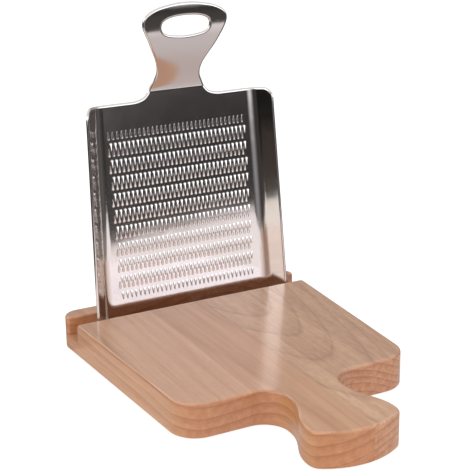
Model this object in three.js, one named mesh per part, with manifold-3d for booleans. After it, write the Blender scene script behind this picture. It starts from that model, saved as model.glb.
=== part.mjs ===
// Upright sheet-steel grater that stands in the groove of a small wooden board.
//
// Units are millimetres, +Z up. The board lies on Z = 0. +X is to the right and
// +Y runs from the board's handle towards the groove at its back. The origin is
// under the middle of the whole object.
//
// Board plan:      Y = 0 at the groove's front wall (board-local)
// Grater, local:   x across the sheet, y behind its front face, z up the sheet;
//                  z = 0 is level with the board's top face.

import * as THREE from 'three';
import { mergeVertices, mergeGeometries } from 'three/addons/utils/BufferGeometryUtils.js';
import Module from 'manifold-3d';

// ---------------------------------------------------------------- dimensions
// whole object
const ORIGIN_Y = 76.84;                // board-local Y = -76.84 sits over the origin

// board
const BOARD_THICKNESS = 18.6;
const EDGE_ROUND = 1.45;               // rounding of every long edge
const BOARD_BACK_Y = 21.2;
const BOARD_BACK_HALF = 71.4;          // half width at the back
const BOARD_BACK_CORNER = 8.5;
const BOARD_FRONT_Y = -118.6;
const BOARD_FRONT_HALF = 65.0;         // half width at the front edge
const BOARD_FRONT_CORNER = 14.9;
const NOTCH_RADIUS = 12.8;             // hollow between the front edge and the handle
const NECK_HALF = 15.3;                // narrowest half width of the board's handle
const NECK_Y = -132.0;
const HANDLE_END_HALF = 24.0;
const HANDLE_END_Y = -175.9;
const STAVE_SEAMS = [-27.25, 4.5];      // glued joints between the three staves

// groove
const GROOVE_FRONT_Y = -0.1;
const GROOVE_BACK_Y = 11.4;
const GROOVE_FLOOR_Z = 8.3;
const GROOVE_MOUTH_ROUND = 1.45;
const GROOVE_END_ROUND = 2.0;

// grater sheet
const SHEET = 1.5;                     // sheet thickness
const LEAN = THREE.MathUtils.degToRad(5.46);
const SHEET_X = 1.79;                   // centre of the sheet on the board
const SHEET_Y = 9.58;                  // its front face where it passes the board's top
const SHEET_BOTTOM = -9.9;
const SHOULDER = 113.2;                // top edge of the panel
const EDGE_HALF = 58.15;               // half width over the flanges, at z = 0
const BEND_HALF = 49.9;                // half width between the bend lines, at z = 0
const TAPER = 0.0285;                  // half width lost per mm of height
const FLANGE_ANGLE = THREE.MathUtils.degToRad(46);
const FLANGE_DEPTH = 8.9;
const BEND_RADIUS = 10.0;
const FLANGE_CORNER = 6.0;

// handle of the grater
const HANDLE_START = 117;              // the strip starts to curve here
const HANDLE_X = 0.52;                 // handle centre against the panel centre
const HANDLE_DRIFT = 0.97;             // how far the loop stands to the right of its neck
// [distance along the strip, angle from the panel in degrees, forward is minus]
const HANDLE_BEND = [
  [0, 0], [2, -19.96], [4, -25.16], [7, -27.9], [11, -30.2], [15, -30.6],
  [20, -27.4], [25, -22.6], [30, -17.6], [35, -13.6], [41.3, -10.06], [51.4, 2.84]
];
// [distance along the strip, half width]
const HANDLE_HALF = [
  [0, 17.45], [4, 15.3], [8, 13.5], [11.92, 13.08], [15.75, 13.72], [19.6, 15.2],
  [23.4, 17.1], [27.25, 19.15], [31.25, 21.1], [35.25, 23.12], [38.25, 24.4], [40.75, 24.9],
  [43.25, 24.45], [45.25, 23.1], [47.25, 20.3], [49.1, 15.9], [50.4, 9.8], [51.15, 4.3], [51.3, 0]
];
// finger hole: [distance along the strip, half width], centred 1.74 to the right
const HOLE_X = 1.74;
const HOLE_HALF = [
  [32.95, 0], [33.2, 4], [33.85, 8.6], [34.95, 11.9], [36.65, 13.7], [38.65, 14.1],
  [40.75, 13.5], [42.25, 11.6], [43.35, 8.4], [43.95, 4], [44.1, 0]
];

// grating teeth: rows of upward teeth, each with a row of downward teeth below it
const TOOTH_COLUMNS = 32;
const TOOTH_ROWS = 10;
const TOOTH_PITCH = 2.625;
const ROW_PITCH = 9.222;
const TOOTH_FIRST_X = -41.28;
const TOOTH_FIRST_Z = 94.44;
const TOOTH_LENGTH = 4.2;
const TOOTH_HALF = 0.85;
const TOOTH_HEIGHT = 0.85;
const TOOTH_ROOT = 0.3;                // depth of the tooth's root inside the sheet
const DOWN_SHIFT_X = 1.31;             // downward teeth stand between the upward ones
const DOWN_SHIFT_Z = -1.35;

// ------------------------------------------------------------------- solids
const wasm = await Module();
wasm.setup();

function solid(geometry) {
  const g = geometry.clone();
  g.deleteAttribute('normal');
  g.deleteAttribute('uv');
  const merged = mergeVertices(g, 1e-4);
  return new wasm.Manifold(new wasm.Mesh({
    numProp: 3,
    vertProperties: new Float32Array(merged.attributes.position.array),
    triVerts: new Uint32Array(merged.index.array)
  }));
}

function geometryOf(manifold) {
  const mesh = manifold.getMesh();
  const g = new THREE.BufferGeometry();
  const points = new Float32Array(mesh.numVert * 3);
  for (let i = 0; i < mesh.numVert; i++) {
    for (let k = 0; k < 3; k++) points[3 * i + k] = mesh.vertProperties[mesh.numProp * i + k];
  }
  g.setAttribute('position', new THREE.BufferAttribute(points, 3));
  g.setIndex(new THREE.BufferAttribute(new Uint32Array(mesh.triVerts), 1));
  g.computeVertexNormals();
  return g;
}

function box(x0, x1, y0, y1, z0, z1) {
  const g = new THREE.BoxGeometry(x1 - x0, y1 - y0, z1 - z0);
  g.translate((x0 + x1) / 2, (y0 + y1) / 2, (z0 + z1) / 2);
  return g;
}

// an outline drawn in X and Z, made solid from y0 to y1
function extrudeAlongY(shape, y0, y1, curveSegments = 8) {
  const g = new THREE.ExtrudeGeometry(shape, { depth: y1 - y0, bevelEnabled: false, curveSegments });
  g.rotateX(Math.PI / 2);              // shape y -> Z, depth -> -Y
  g.translate(0, y1, 0);
  return g;
}

// an outline drawn in Y and Z, made solid from x0 to x1
function extrudeAlongX(shape, x0, x1, curveSegments = 8) {
  const g = new THREE.ExtrudeGeometry(shape, { depth: x1 - x0, bevelEnabled: false, curveSegments });
  g.rotateY(Math.PI / 2);              // depth -> X, shape x -> -Z
  g.rotateX(Math.PI / 2);              // shape x -> Y, shape y -> Z
  g.translate(x0, 0, 0);
  return g;
}

// --------------------------------------------------------------------- board
// right half of the plan, from the middle of the back edge to the handle's end
function boardHalf() {
  const p = new THREE.Path();
  const sideRun = BOARD_BACK_Y - BOARD_BACK_CORNER - (BOARD_FRONT_Y + BOARD_FRONT_CORNER);
  const drop = BOARD_BACK_HALF - BOARD_FRONT_HALF;
  const slope = Math.atan2(drop, sideRun);
  p.moveTo(0, BOARD_BACK_Y);
  p.lineTo(BOARD_BACK_HALF - BOARD_BACK_CORNER, BOARD_BACK_Y);
  p.absarc(BOARD_BACK_HALF - BOARD_BACK_CORNER, BOARD_BACK_Y - BOARD_BACK_CORNER,
    BOARD_BACK_CORNER, Math.PI / 2, -slope, true);
  p.absarc(BOARD_FRONT_HALF - BOARD_FRONT_CORNER, BOARD_FRONT_Y + BOARD_FRONT_CORNER,
    BOARD_FRONT_CORNER, -slope, -Math.PI / 2, true);
  p.lineTo(NECK_HALF + NOTCH_RADIUS, BOARD_FRONT_Y);
  p.absarc(NECK_HALF + NOTCH_RADIUS, BOARD_FRONT_Y - NOTCH_RADIUS,
    NOTCH_RADIUS, Math.PI / 2, Math.PI, false);
  p.lineTo(NECK_HALF, NECK_Y);
  p.bezierCurveTo(NECK_HALF, -138.2, 17.0, -142.6, 19.2, -147.2);
  p.bezierCurveTo(21.8, -152.4, HANDLE_END_HALF, -156.6, HANDLE_END_HALF, -162.8);
  p.bezierCurveTo(HANDLE_END_HALF, -166.2, 23.1, -168.7, 20.9, -169.9);
  p.bezierCurveTo(14.7, -173.8, 7.3, HANDLE_END_Y, 0, HANDLE_END_Y);
  return p.getPoints(7);
}

function boardBlank() {
  const half = boardHalf();
  const points = [...half, ...half.slice(1, -1).reverse().map((q) => new THREE.Vector2(-q.x, q.y))];
  const shape = new THREE.Shape(points);
  const g = new THREE.ExtrudeGeometry(shape, {
    depth: BOARD_THICKNESS - 2 * EDGE_ROUND,
    bevelEnabled: true,
    bevelThickness: EDGE_ROUND,
    bevelSize: EDGE_ROUND,
    bevelOffset: -EDGE_ROUND,
    bevelSegments: 3
  });
  g.translate(0, 0, EDGE_ROUND);
  return g;
}

function grooveCutters() {
  const top = BOARD_THICKNESS;
  const r = GROOVE_MOUTH_ROUND;
  // cross-section of the groove, with its mouth rounded over
  const section = new THREE.Shape();
  section.moveTo(GROOVE_FRONT_Y, GROOVE_FLOOR_Z);
  section.lineTo(GROOVE_BACK_Y, GROOVE_FLOOR_Z);
  section.lineTo(GROOVE_BACK_Y, top - r);
  section.absarc(GROOVE_BACK_Y + r, top - r, r, Math.PI, Math.PI / 2, true);
  section.lineTo(GROOVE_BACK_Y + r, top + 2);
  section.lineTo(GROOVE_FRONT_Y - r, top + 2);
  section.lineTo(GROOVE_FRONT_Y - r, top);
  section.absarc(GROOVE_FRONT_Y - r, top - r, r, Math.PI / 2, 0, true);
  const along = extrudeAlongX(section, -90, 90, 4);
  // plan of one open end, with its upright corners rounded over
  const e = GROOVE_END_ROUND;
  const x = BOARD_BACK_HALF - 0.35;
  const plan = new THREE.Shape();
  plan.moveTo(x - e - 1, GROOVE_FRONT_Y);
  plan.lineTo(x - e, GROOVE_FRONT_Y);
  plan.absarc(x - e, GROOVE_FRONT_Y - e, e, Math.PI / 2, 0, true);
  plan.lineTo(x + 5, GROOVE_FRONT_Y - e);
  plan.lineTo(x + 5, GROOVE_BACK_Y + e);
  plan.lineTo(x, GROOVE_BACK_Y + e);
  plan.absarc(x - e, GROOVE_BACK_Y + e, e, 0, -Math.PI / 2, true);
  plan.lineTo(x - e - 1, GROOVE_BACK_Y);
  const end = new THREE.ExtrudeGeometry(plan, {
    depth: top + 2 - GROOVE_FLOOR_Z, bevelEnabled: false, curveSegments: 4
  });
  end.translate(0, 0, GROOVE_FLOOR_Z);
  const otherEnd = end.clone();
  otherEnd.rotateZ(Math.PI);
  otherEnd.translate(0, GROOVE_FRONT_Y + GROOVE_BACK_Y, 0);
  return [along, end, otherEnd];
}

let board = solid(boardBlank());
for (const cutter of grooveCutters()) board = board.subtract(solid(cutter));

const staveEdges = [-100, ...STAVE_SEAMS, 100];
const staveNames = ['board_stave_left', 'board_stave_centre', 'board_stave_right'];
const staveColours = [0xd3b08c, 0xd0a985, 0xd6b594];

const part = new THREE.Group();
const boardGroup = new THREE.Group();
boardGroup.position.set(0, ORIGIN_Y, 0);
part.add(boardGroup);

staveNames.forEach((name, i) => {
  const slab = solid(box(staveEdges[i], staveEdges[i + 1], -200, 60, -5, 40));
  const mesh = new THREE.Mesh(
    geometryOf(board.intersect(slab)),
    new THREE.MeshStandardMaterial({ color: staveColours[i], roughness: 0.42, metalness: 0 })
  );
  mesh.name = name;
  boardGroup.add(mesh);
});

// -------------------------------------------------------------- grater panel
// half of the sheet's cross-section: [x, y] on the front face or behind it
function panelHalf(offset) {
  const t = BEND_RADIUS * Math.tan(FLANGE_ANGLE / 2);
  const cx = BEND_HALF - t;
  const r = BEND_RADIUS + offset;
  const pts = [];
  const steps = 4;
  for (let i = 0; i <= steps; i++) {
    const a = (FLANGE_ANGLE * i) / steps;
    pts.push([cx + r * Math.sin(a), -BEND_RADIUS + r * Math.cos(a)]);
  }
  const front = [cx + BEND_RADIUS * Math.sin(FLANGE_ANGLE), -BEND_RADIUS + BEND_RADIUS * Math.cos(FLANGE_ANGLE)];
  const run = (FLANGE_DEPTH + front[1]) / Math.sin(FLANGE_ANGLE);
  const last = pts[pts.length - 1];
  pts.push([last[0] + run * Math.cos(FLANGE_ANGLE), last[1] - run * Math.sin(FLANGE_ANGLE)]);
  return pts;
}

function widthAt(z) {
  return 1 - (TAPER * z) / EDGE_HALF;
}

function panelGeometry() {
  const front = panelHalf(0);
  const back = panelHalf(SHEET);
  const outline = [
    ...front,
    ...back.slice().reverse(),
    ...back.map(([x, y]) => [-x, y]),
    ...front.slice().reverse().map(([x, y]) => [-x, y])
  ].map(([x, y]) => new THREE.Vector2(x, y));
  const g = new THREE.ExtrudeGeometry(new THREE.Shape(outline), {
    depth: SHOULDER - SHEET_BOTTOM, bevelEnabled: false
  });
  g.translate(0, 0, SHEET_BOTTOM);
  const p = g.attributes.position;
  for (let i = 0; i < p.count; i++) p.setX(i, p.getX(i) * widthAt(p.getZ(i)));
  return g;
}

// rounds the right flange at its top or bottom corner
function cornerCutter(top) {
  const r = FLANGE_CORNER;
  const z = top ? SHOULDER : SHEET_BOTTOM;
  const edge = EDGE_HALF * widthAt(z);
  const s = new THREE.Shape();           // x along the flange, y up
  s.moveTo(2, 2);
  s.lineTo(-r, 2);
  s.lineTo(-r, 0);
  s.absarc(-r, -r, r, Math.PI / 2, 0, true);
  s.lineTo(2, -r);
  const g = new THREE.ExtrudeGeometry(s, { depth: 8, bevelEnabled: false, curveSegments: 6 });
  g.translate(0, 0, -4);
  if (!top) g.rotateX(Math.PI);          // turn the cutter over for a lower corner
  g.rotateX(Math.PI / 2);                // y -> Z
  g.rotateZ(-FLANGE_ANGLE);              // into the flange's plane
  g.translate(edge, -FLANGE_DEPTH, z);
  return g;
}

function mirroredX(manifold) {
  return manifold.mirror([1, 0, 0]);
}

let sheet = solid(panelGeometry());
for (const top of [true, false]) {
  const cutter = solid(cornerCutter(top));
  sheet = sheet.subtract(cutter).subtract(mirroredX(cutter));
}

// ------------------------------------------------------------- grater handle
function interpolate(table, s) {
  for (let i = 1; i < table.length; i++) {
    if (s <= table[i][0]) {
      const [s0, a0] = table[i - 1];
      const [s1, a1] = table[i];
      return a0 + ((a1 - a0) * (s - s0)) / (s1 - s0);
    }
  }
  return table[table.length - 1][1];
}

// the strip's front face in the grater's y, z, with the angle at each station
function stripStations(length) {
  const stations = [];
  let y = 0;
  let z = HANDLE_START;
  const step = 0.25;
  for (let s = 0; s <= length + 1e-6; s += step) {
    const a = THREE.MathUtils.degToRad(interpolate(HANDLE_BEND, s));
    stations.push({ s, y, z, a });
    const m = THREE.MathUtils.degToRad(interpolate(HANDLE_BEND, s + step / 2));
    y += step * Math.sin(m);
    z += step * Math.cos(m);
  }
  return stations;
}

const stations = stripStations(54);
function heightAt(s) {
  if (s < 0) return HANDLE_START + s;
  const i = Math.min(stations.length - 2, Math.floor(s / 0.25));
  const f = s / 0.25 - i;
  return stations[i].z + f * (stations[i + 1].z - stations[i].z);
}

function stripGeometry() {
  const picks = [0, 1, 2, 3, 4, 6, 8, 11, 14, 18, 22, 26, 30, 34, 38, 42, 46, 50, 54];
  const chosen = picks.map((s) => stations[Math.round(s / 0.25)]);
  const frontSide = [new THREE.Vector2(0, 108), ...chosen.map((q) => new THREE.Vector2(q.y, q.z))];
  const backSide = [new THREE.Vector2(SHEET, 108), ...chosen.map((q) =>
    new THREE.Vector2(q.y + SHEET * Math.cos(q.a), q.z - SHEET * Math.sin(q.a)))];
  return extrudeAlongX(new THREE.Shape([...frontSide, ...backSide.reverse()]), -40, 40);
}

function handleCentre(s) {
  return HANDLE_X + HANDLE_DRIFT * Math.min(1, Math.max(0, (s - 17) / 16));
}

function handleOutline() {
  const half = [[-9, 27.5], [-4.4, 27.5], [-4.1, 25.2], [-3.4, 21.9], [-2.1, 19.2], ...HANDLE_HALF];
  const right = half.map(([s, w]) => new THREE.Vector2(handleCentre(s) + w, heightAt(s)));
  const left = half.slice(0, -1).reverse().map(([s, w]) => new THREE.Vector2(handleCentre(s) - w, heightAt(s)));
  const shape = new THREE.Shape([...right, ...left]);
  const holeRight = HOLE_HALF.map(([s, w]) => new THREE.Vector2(HOLE_X + w, heightAt(s)));
  const holeLeft = HOLE_HALF.slice(1, -1).reverse().map(([s, w]) => new THREE.Vector2(HOLE_X - w, heightAt(s)));
  shape.holes.push(new THREE.Path([...holeRight, ...holeLeft]));
  return shape;
}

const handle = solid(stripGeometry()).intersect(solid(extrudeAlongY(handleOutline(), -40, 40)));
sheet = sheet.add(handle);

// -------------------------------------------------------------------- teeth
// a three-sided spike: broad at one end, its point raised near the other
function tooth(x, z, direction) {
  const g = new THREE.ConeGeometry(1, 1, 3, 1);
  const p = g.attributes.position;
  const grow = (TOOTH_HEIGHT + TOOTH_ROOT) / TOOTH_HEIGHT;
  const pointAt = 0.72 * TOOTH_LENGTH;
  for (let i = 0; i < p.count; i++) {
    const apex = p.getY(i) > 0;
    const across = (p.getX(i) / 0.8660254) * TOOTH_HALF * grow;
    const along = ((p.getZ(i) + 0.5) / 1.5) * TOOTH_LENGTH;
    const lengthwise = apex ? pointAt : pointAt + (along - pointAt) * grow;
    p.setXYZ(i, apex ? x : x - across * direction, apex ? -TOOTH_HEIGHT : TOOTH_ROOT, z + direction * lengthwise);
  }
  return g;
}

function toothRows(direction, dx, dz) {
  const all = [];
  for (let row = 0; row < TOOTH_ROWS; row++) {
    for (let col = 0; col < TOOTH_COLUMNS; col++) {
      all.push(tooth(TOOTH_FIRST_X + dx + TOOTH_PITCH * col, TOOTH_FIRST_Z + dz - ROW_PITCH * row, direction));
    }
  }
  return mergeGeometries(all);
}

sheet = sheet.add(solid(toothRows(1, 0, -0.3)));
sheet = sheet.add(solid(toothRows(-1, DOWN_SHIFT_X, DOWN_SHIFT_Z)));

const grater = new THREE.Mesh(
  geometryOf(sheet),
  new THREE.MeshStandardMaterial({ color: 0xc9c6c2, roughness: 0.16, metalness: 1 })
);
grater.name = 'grater_plate';
grater.rotation.x = -LEAN;
grater.position.set(SHEET_X, SHEET_Y, BOARD_THICKNESS);
boardGroup.add(grater);

export default part;
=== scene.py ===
import math
import random

import bmesh
import bpy
import numpy as np
from mathutils import Matrix, Vector
from mathutils.geometry import delaunay_2d_cdt


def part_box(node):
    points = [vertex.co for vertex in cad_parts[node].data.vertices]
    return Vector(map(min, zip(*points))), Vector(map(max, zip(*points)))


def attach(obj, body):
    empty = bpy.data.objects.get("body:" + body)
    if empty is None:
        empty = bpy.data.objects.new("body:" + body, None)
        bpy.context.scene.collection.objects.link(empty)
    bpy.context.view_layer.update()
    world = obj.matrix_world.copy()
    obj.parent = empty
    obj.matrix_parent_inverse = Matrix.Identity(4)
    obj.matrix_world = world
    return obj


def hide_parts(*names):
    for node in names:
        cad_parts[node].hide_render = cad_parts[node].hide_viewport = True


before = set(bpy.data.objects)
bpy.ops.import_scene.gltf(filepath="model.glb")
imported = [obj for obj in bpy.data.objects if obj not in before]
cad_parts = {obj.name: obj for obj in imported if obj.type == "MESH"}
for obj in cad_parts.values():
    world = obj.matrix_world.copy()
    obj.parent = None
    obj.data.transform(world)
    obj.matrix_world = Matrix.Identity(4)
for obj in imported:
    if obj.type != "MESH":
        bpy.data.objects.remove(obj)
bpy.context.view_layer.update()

scene = bpy.context.scene

# ------------------------------------------------------------------ dimensions
# millimetres, as in the CAD: board-local Y = 0 is the groove's front wall,
# grater-local z = 0 is level with the board's top
BOARD_THICKNESS = 18.6
EDGE_ROUND = 1.45
BOARD_BACK_Y = 21.2
BOARD_BACK_HALF = 71.4
BOARD_BACK_CORNER = 8.5
BOARD_FRONT_Y = -118.6
BOARD_FRONT_HALF = 65.0
BOARD_FRONT_CORNER = 14.9
NOTCH_RADIUS = 12.8
NECK_HALF = 15.3
NECK_Y = -132.0
HANDLE_END_HALF = 24.0
HANDLE_END_Y = -175.9
STAVE_SEAMS = [-27.25, 4.5]

GROOVE_FRONT_Y = -0.1
GROOVE_BACK_Y = 11.4
GROOVE_FLOOR_Z = 8.3
GROOVE_END_ROUND = 2.0

SHEET = 1.5
LEAN = math.radians(5.46)
SHEET_X = 1.79
SHEET_Y = 9.58
SHEET_BOTTOM = -9.9
SHOULDER = 113.2
EDGE_HALF = 58.15
BEND_HALF = 49.9
TAPER = 0.0285
FLANGE_ANGLE = math.radians(46)
FLANGE_DEPTH = 8.9
BEND_RADIUS = 10.0
FLANGE_CORNER = 6.0
FRONT_ROUND = (1.3, 0.85)              # along the sheet, through the sheet
BACK_ROUND = 0.45

HANDLE_START = 117.0
HANDLE_X = 0.52
HANDLE_DRIFT = 0.97                    # how far the loop stands to the right of its neck
HANDLE_BEND = [
    (0, 0), (2, -19.96), (4, -25.16), (7, -27.9), (11, -30.2), (15, -30.6),
    (20, -27.4), (25, -22.6), (30, -17.6), (35, -13.6), (41.3, -10.06), (51.4, 2.84),
]
HANDLE_HALF = [
    (-6.2, 30.5), (-3.8, 28.0), (-3.8, 26.6), (-3.62, 24.3), (-3.1, 21.9), (-2.0, 19.4), (0, 17.45),
    (4, 15.3), (8, 13.5), (11.92, 13.08), (15.75, 13.72), (19.6, 15.2), (23.4, 17.1), (27.25, 19.15),
    (31.25, 21.1), (35.25, 23.12), (38.25, 24.4), (40.75, 24.9), (43.25, 24.45), (45.25, 23.1),
    (47.25, 20.3), (49.1, 15.9), (50.4, 9.8), (51.15, 4.3), (51.3, 0),
]
HOLE_X = 1.74
HOLE_HALF = [
    (32.95, 0), (33.2, 4), (33.85, 8.6), (34.95, 11.9), (36.65, 13.7), (38.65, 14.1),
    (40.75, 13.5), (42.25, 11.6), (43.35, 8.4), (43.95, 4), (44.1, 0),
]

TOOTH_COLUMNS = 32
TOOTH_ROWS = 10
TOOTH_PITCH = 2.625
ROW_PITCH = 9.222
TOOTH_FIRST_X = -41.28
TOOTH_FIRST_Z = 94.44
ROW_OFFSET = [-0.19, -0.43, -0.45, 0.10, -0.33, -0.10, 0.0, 0.0, 0.0, -0.10]
DOWN_OFFSET = [1.10, 1.26, 1.64, 0.99, 1.43, 1.31, 1.31, 1.31, 1.31, 1.31]
UP_BASE = -0.30                        # where an upward tooth starts, from its row's line
DOWN_BASE = -1.75                      # where a downward tooth starts
# distance from the base, half width, height of the ridge
TOOTH_UP = [
    (0.0, 0.0, 0.0), (0.10, 0.38, 0.02), (0.30, 0.64, 0.05), (0.62, 0.84, 0.085), (1.0, 0.87, 0.125),
    (1.45, 0.82, 0.17), (2.0, 0.71, 0.225), (2.7, 0.57, 0.295), (3.3, 0.45, 0.36), (3.8, 0.36, 0.41),
    (4.15, 0.27, 0.45), (4.35, 0.17, 0.46), (4.5, 0.0, 0.0),
]
TOOTH_DOWN = [
    (0.0, 0.0, 0.0), (0.08, 0.36, 0.04), (0.25, 0.60, 0.105), (0.5, 0.80, 0.185), (0.85, 0.88, 0.29),
    (1.1, 0.86, 0.35), (1.35, 0.82, 0.40), (1.9, 0.73, 0.475), (2.6, 0.60, 0.565), (3.3, 0.46, 0.655),
    (4.0, 0.33, 0.745), (4.45, 0.19, 0.80), (4.75, 0.0, 0.0),
]
ACROSS = [-1.0, -0.86, -0.6, -0.25, 0.25, 0.6, 0.86, 1.0]
FULLNESS = {1: 3.0, -1: 4.5}            # how flat the back of a tooth is across

# where the board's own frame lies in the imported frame
SHIFT_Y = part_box("board_stave_left")[1].y * 1000 - BOARD_BACK_Y


def placed(points):
    """board-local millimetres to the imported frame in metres"""
    return (np.asarray(points, float) + np.array([0.0, SHIFT_Y, 0.0])) * 0.001


# ----------------------------------------------------------------------- camera
def make_camera():
    focal, turn, pitch, roll = 1283.1065453285498, 0.48390501640178035, 0.3270844228821763, -0.01093114651862262
    t = np.array([-22.933018122657643, -54.552552555226114, 726.6002103503038])
    forward = np.array([math.sin(turn) * math.cos(pitch), math.cos(turn) * math.cos(pitch), -math.sin(pitch)])
    right = np.array([math.cos(turn), -math.sin(turn), 0.0])
    up = np.cross(right, forward)
    c, s = math.cos(roll), math.sin(roll)
    rows = np.array([c * right + s * up, -s * right + c * up, forward])
    centre = placed(-rows.T @ t)
    data = bpy.data.cameras.new("camera")
    data.sensor_fit = "HORIZONTAL"
    data.sensor_width = 36.0
    data.lens = focal / 470 * 36.0
    data.clip_start, data.clip_end = 0.01, 50.0
    cam = bpy.data.objects.new("camera", data)
    scene.collection.objects.link(cam)
    m = Matrix.Identity(4)
    for k in range(3):
        m[k][0], m[k][1], m[k][2], m[k][3] = rows[0][k], rows[1][k], -rows[2][k], centre[k]
    cam.matrix_world = m
    scene.camera = cam


make_camera()


# ------------------------------------------------------------------ node helpers
class Tree:
    """short calls for building a node tree"""

    def __init__(self, tree):
        self.tree = tree
        tree.nodes.clear()

    def node(self, kind, **inputs):
        n = self.tree.nodes.new(kind)
        for key, value in inputs.items():
            n.inputs[key].default_value = value
        return n

    def link(self, source, target):
        self.tree.links.new(source, target)

    def feed(self, socket, value):
        if isinstance(value, (int, float)):
            socket.default_value = value
        elif isinstance(value, (tuple, list)):
            socket.default_value = value
        else:
            self.link(value, socket)

    def math(self, operation, a, b=None, c=None, clamp=False):
        n = self.tree.nodes.new("ShaderNodeMath")
        n.operation = operation
        n.use_clamp = clamp
        for i, value in enumerate((a, b, c)):
            if value is not None:
                self.feed(n.inputs[i], value)
        return n.outputs[0]

    def add(self, a, b):
        return self.math("ADD", a, b)

    def sub(self, a, b):
        return self.math("SUBTRACT", a, b)

    def mul(self, a, b):
        return self.math("MULTIPLY", a, b)

    def step(self, value, low, high, out_low=0.0, out_high=1.0):
        n = self.tree.nodes.new("ShaderNodeMapRange")
        n.interpolation_type = "SMOOTHSTEP"
        self.feed(n.inputs["Value"], value)
        self.feed(n.inputs["From Min"], low)
        self.feed(n.inputs["From Max"], high)
        self.feed(n.inputs["To Min"], out_low)
        self.feed(n.inputs["To Max"], out_high)
        return n.outputs["Result"]

    def hump(self, value, centre, width):
        """1 at centre, falling smoothly to 0 at a distance of width"""
        away = self.math("ABSOLUTE", self.sub(value, centre))
        return self.step(away, 0.0, width, 1.0, 0.0)

    def split(self, vector):
        n = self.tree.nodes.new("ShaderNodeSeparateXYZ")
        self.link(vector, n.inputs[0])
        return n.outputs[0], n.outputs[1], n.outputs[2]

    def vector(self, x, y, z):
        n = self.tree.nodes.new("ShaderNodeCombineXYZ")
        for i, value in enumerate((x, y, z)):
            self.feed(n.inputs[i], value)
        return n.outputs[0]

    def scaled(self, vector, scale, offset=(0.0, 0.0, 0.0)):
        n = self.tree.nodes.new("ShaderNodeVectorMath")
        n.operation = "MULTIPLY_ADD"
        self.link(vector, n.inputs[0])
        n.inputs[1].default_value = scale
        n.inputs[2].default_value = offset
        return n.outputs[0]

    def noise(self, vector, detail=2.0, roughness=0.5, distortion=0.0):
        n = self.tree.nodes.new("ShaderNodeTexNoise")
        n.inputs["Scale"].default_value = 1.0
        n.inputs["Detail"].default_value = detail
        n.inputs["Roughness"].default_value = roughness
        n.inputs["Distortion"].default_value = distortion
        self.link(vector, n.inputs["Vector"])
        return n.outputs["Fac"]

    def noise_1d(self, value, detail=1.0):
        n = self.tree.nodes.new("ShaderNodeTexNoise")
        n.noise_dimensions = "1D"
        n.inputs["Scale"].default_value = 1.0
        n.inputs["Detail"].default_value = detail
        self.link(value, n.inputs["W"])
        return n.outputs["Fac"]

    def mix(self, factor, a, b, blend="MIX"):
        n = self.tree.nodes.new("ShaderNodeMix")
        n.data_type = "RGBA"
        n.blend_type = blend
        self.feed(n.inputs[0], factor)
        for socket, value in ((n.inputs[6], a), (n.inputs[7], b)):
            if isinstance(value, (tuple, list)):
                socket.default_value = tuple(value) + (1.0,) * (4 - len(value))
            else:
                self.link(value, socket)
        return n.outputs[2]

    def ramp(self, value, stops):
        n = self.tree.nodes.new("ShaderNodeValToRGB")
        self.link(value, n.inputs[0])
        n.color_ramp.interpolation = "EASE"
        elements = n.color_ramp.elements
        while len(elements) < len(stops):
            elements.new(0.5)
        for element, (place, level) in zip(elements, stops):
            element.position = place
            element.color = (level, level, level, 1.0)
        return n.outputs[0]


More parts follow.
